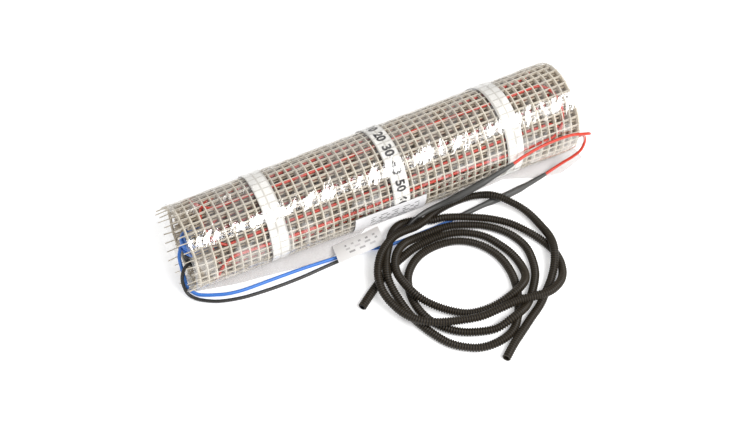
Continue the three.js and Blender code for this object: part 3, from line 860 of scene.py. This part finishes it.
ink_finish = plain_material("tape_ink", (0.025, 0.022, 0.022), 0.5)
NUMBER_HEIGHT = 0.0150
NUMBERS = 7
FIRST_NUMBER_ANGLE = 118
NUMBER_SPACING = 23
INK_STAND_OFF = 0.0002
number_meshes = []
for i in range(NUMBERS):
    degrees = FIRST_NUMBER_ANGLE - NUMBER_SPACING * i
    text = bpy.data.curves.new("number", "FONT")
    text.body = str(10 * (i + 1))
    text.size = NUMBER_HEIGHT
    text.align_x = "CENTER"
    text.align_y = "CENTER"
    text.extrude = 0.00005
    text.offset = 0.0005
    holder = bpy.data.objects.new("number", text)
    bpy.context.scene.collection.objects.link(holder)
    flat = bpy.data.meshes.new_from_object(holder.evaluated_get(bpy.context.evaluated_depsgraph_get()))
    bpy.data.objects.remove(holder)
    for vertex in flat.vertices:
        around = degrees - math.degrees(vertex.co.x / FILM_RADIUS)
        depth = TAPE_DEPTH - INK_STAND_OFF - vertex.co.z
        vertex.co = roll_point(TAPE_CENTRES["middle"] + vertex.co.y, depth, around)
    number_meshes.append(flat)
joined = bmesh.new()
for flat in number_meshes:
    joined.from_mesh(flat)
bmesh.ops.remove_doubles(joined, verts=joined.verts, dist=1e-6)
numbers = piece_of(joined, "tape_numbers", smooth_faces=False)
numbers.data.materials.append(ink_finish)
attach(numbers, "root")

# Film wrap: thin clear film, wound round the mat with its free edge left as a flap on the floor. It is
# stretched along the roll and crinkled, so the lamp's reflection breaks up along its upper front.
film_finish = bpy.data.materials.new("clear_film")
film_finish.use_nodes = True
film_nodes = film_finish.node_tree
film_nodes.nodes.remove(film_nodes.nodes["Principled BSDF"])
film_place = add_node(film_nodes, "ShaderNodeTexCoord").outputs["Object"]
film_turned = add_node(film_nodes, "ShaderNodeMapping", {
    "Vector": film_place,
    "Rotation": (0, 0, -0.6),
    "Scale": (0.009, 0.036, 0.036),
}, vector_type="TEXTURE")
crinkles = add_node(film_nodes, "ShaderNodeTexNoise", {
    "Vector": film_turned.outputs[0],
    "Scale": 1,
    "Detail": 4,
    "Roughness": 0.55,
    "Distortion": 1.2,
})
creases = add_node(film_nodes, "ShaderNodeTexVoronoi", {"Vector": film_turned.outputs[0], "Scale": 0.4},
                   feature="DISTANCE_TO_EDGE")
crease = sum_node(film_nodes, "MINIMUM", creases.outputs["Distance"], 0.15)
rumple = sum_node(film_nodes, "MULTIPLY_ADD", crease, 1.5, crinkles.outputs[0])
film_relief = add_node(film_nodes, "ShaderNodeBump", {"Height": rumple, "Strength": 0.6, "Distance": 0.0016})
mirror = add_node(film_nodes, "ShaderNodeBsdfGlossy", {
    "Color": (1, 1, 1, 1),
    "Roughness": 0.09,
    "Normal": film_relief.outputs[0],
})
see_through = add_node(film_nodes, "ShaderNodeBsdfTransparent", {"Color": (0.97, 0.97, 0.97, 1)})
film_slant = add_node(film_nodes, "ShaderNodeLayerWeight", {"Blend": 0.5, "Normal": film_relief.outputs[0]})
film_glance = sum_node(film_nodes, "POWER", film_slant.outputs["Facing"], 4)
patches = add_node(film_nodes, "ShaderNodeTexNoise", {
    "Vector": film_turned.outputs[0],
    "Scale": 0.8,
    "Detail": 1,
})
taut = add_node(film_nodes, "ShaderNodeMapRange", {
    "Value": patches.outputs[0],
    "From Min": 0.44,
    "From Max": 0.56,
    "To Min": 0.02,
    "To Max": 0.10,
}, interpolation_type="SMOOTHSTEP")
film_share = sum_node(film_nodes, "MULTIPLY_ADD", film_glance, 0.4, taut.outputs[0])
film_mix = add_node(film_nodes, "ShaderNodeMixShader", {
    0: film_share,
    1: see_through.outputs[0],
    2: mirror.outputs[0],
})
film_out = next(n for n in film_nodes.nodes if n.type == "OUTPUT_MATERIAL")
film_nodes.links.new(film_mix.outputs[0], film_out.inputs["Surface"])

FILM_LEFT_X = -0.254
FILM_RIGHT_X = 0.241
SEAM_ANGLE = 61
FILM_THICKNESS = 0.00012


def film_depth(x, degrees):
    """The film hugs the mat and bulges at its crinkles; near the seam its outer edge stands proud."""
    crinkle = 0.00012 * (1 + math.sin(260 * x + 0.6 * degrees)) * (1 + math.sin(95 * x - 0.23 * degrees))
    lip = 0.0004 * math.exp(-((degrees - SEAM_ANGLE) / 1.6) ** 2) if x > 0.16 else 0
    return 0.00035 - min(crinkle, 0.0003) - lip


film = band_mesh("film_sleeve", np.linspace(FILM_LEFT_X, FILM_RIGHT_X, 100), film_depth,
                 np.linspace(-90, 270, 150, endpoint=False), True, FILM_THICKNESS)
film.data.materials.append(film_finish)
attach(film, "root")
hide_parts("film_wrap")

FLAP_EDGE = [
    (-254, -26), (-200, -38), (-97, -52), (-58, -40), (-30, -24), (40, -24), (87, -36), (147, -33),
    (187, -50), (216, -56), (254, -45),
]
flap_finish = plain_material("film_flap", (0.60, 0.57, 0.56), 0.25, shades=0.1, grain=120, bump=0.25)
flap_shader = flap_finish.node_tree.nodes["Principled BSDF"]
flap_shader.inputs["Alpha"].default_value = 0.3
FLAP_ROWS = 90
FLAP_COLUMNS = 12
FLAP_THICKNESS = 0.0002
edge_x, edge_y = zip(*metres(FLAP_EDGE))
flap_shape = bmesh.new()
flap_rows = []
for x in np.linspace(edge_x[0], edge_x[-1], FLAP_ROWS):
    front = float(np.interp(x, edge_x, edge_y))
    back = float(np.interp(x, (FILM_LEFT_X, FILM_RIGHT_X, edge_x[-1]), (0, 0, -0.03)))
    row = []
    for share in np.linspace(0, 1, FLAP_COLUMNS):
        y = back + (front - back) * share
        ripple = 0.00025 * (1 + math.sin(90 * x + 40 * y)) * share
        row.append((x, y, 0.0002 + ripple))
    flap_rows.append(row)
flap_top = [[flap_shape.verts.new((x, y, z + FLAP_THICKNESS)) for x, y, z in row] for row in flap_rows]
flap_under = [[flap_shape.verts.new((x, y, z)) for x, y, z in row] for row in flap_rows]
for i in range(len(flap_rows) - 1):
    for j in range(FLAP_COLUMNS - 1):
        for layer in (flap_top, flap_under):
            flap_shape.faces.new((layer[i][j], layer[i + 1][j], layer[i + 1][j + 1], layer[i][j + 1]))
    for j in (0, FLAP_COLUMNS - 1):
        flap_shape.faces.new((flap_top[i][j], flap_top[i + 1][j], flap_under[i + 1][j], flap_under[i][j]))
for i in (0, len(flap_rows) - 1):
    for j in range(FLAP_COLUMNS - 1):
        flap_shape.faces.new((flap_top[i][j], flap_top[i][j + 1], flap_under[i][j + 1], flap_under[i][j]))
flap = piece_of(flap_shape, "film_flap")
flap.data.materials.append(flap_finish)
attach(flap, "root")

# Roll label: a paper stuck on the film's lower front, with rows of plain dark bars.
ROLL_LABEL_LENGTH = 0.090
ROLL_LABEL_WIDTH = 0.042
ROLL_LABEL_LEFT = -0.063
ROLL_LABEL_TOP_ANGLE = 1
ROLL_LABEL_STAND_OFF = 0.0004
label_finish = paper_material("roll_label_paper", (0.72, 0.71, 0.72), (0.10, 0.10, 0.10), 9, 0.16, 0.3)
roll_label = sheet_mesh(
    "roll_label_sheet", Vector(), Vector((ROLL_LABEL_LENGTH, 0, 0)), Vector((0, ROLL_LABEL_WIDTH, 0)),
    (24, 16), PAPER_THICKNESS, lambda u, v: 0,
)
for vertex in roll_label.data.vertices:
    below = math.degrees((ROLL_LABEL_WIDTH - vertex.co.y) / FILM_RADIUS)
    depth = -ROLL_LABEL_STAND_OFF - vertex.co.z
    vertex.co = roll_point(ROLL_LABEL_LEFT + vertex.co.x, depth, ROLL_LABEL_TOP_ANGLE - below)
roll_label.data.materials.append(label_finish)
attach(roll_label, "root")
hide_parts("roll_label")

# Studio: a plain white table, a white room, a long soft box in front and above, and a weak one behind.
floor_finish = plain_material("table_white", (0.93, 0.93, 0.93), 0.7, shades=0.01)
floor_shader = floor_finish.node_tree.nodes["Principled BSDF"]
floor_shader.inputs["Emission Color"].default_value = (1, 1, 1, 1)
floor_shader.inputs["Emission Strength"].default_value = 0.3
floor_mesh = bpy.data.meshes.new("table")
floor_mesh.from_pydata([(-4, -4, 0), (4, -4, 0), (4, 4, 0), (-4, 4, 0)], [], [(0, 1, 2, 3)])
floor_mesh.materials.append(floor_finish)
table = bpy.data.objects.new("table", floor_mesh)
bpy.context.scene.collection.objects.link(table)

world = bpy.data.worlds.new("white_room")
world.use_nodes = True
world.node_tree.nodes["Background"].inputs["Color"].default_value = (1, 1, 1, 1)
world.node_tree.nodes["Background"].inputs["Strength"].default_value = 0.6
bpy.context.scene.world = world
bpy.context.scene.view_settings.view_transform = "Standard"


def soft_box(name, place, look_at, size, power):
    data = bpy.data.lights.new(name, "AREA")
    data.shape = "RECTANGLE"
    data.size, data.size_y = size
    data.energy = power
    lamp = bpy.data.objects.new(name, data)
    bpy.context.scene.collection.objects.link(lamp)
    aim_at = (Vector(look_at) - Vector(place)).to_track_quat("-Z", "Y")
    lamp.matrix_world = Matrix.Translation(place) @ aim_at.to_matrix().to_4x4()


soft_box("front_box", (0.45, -1.0, 1.15), (0.05, 0, 0.05), (1.3, 0.55), 28)
soft_box("back_box", (-0.6, 1.2, 1.0), (0, 0, 0.05), (1.0, 0.6), 6)
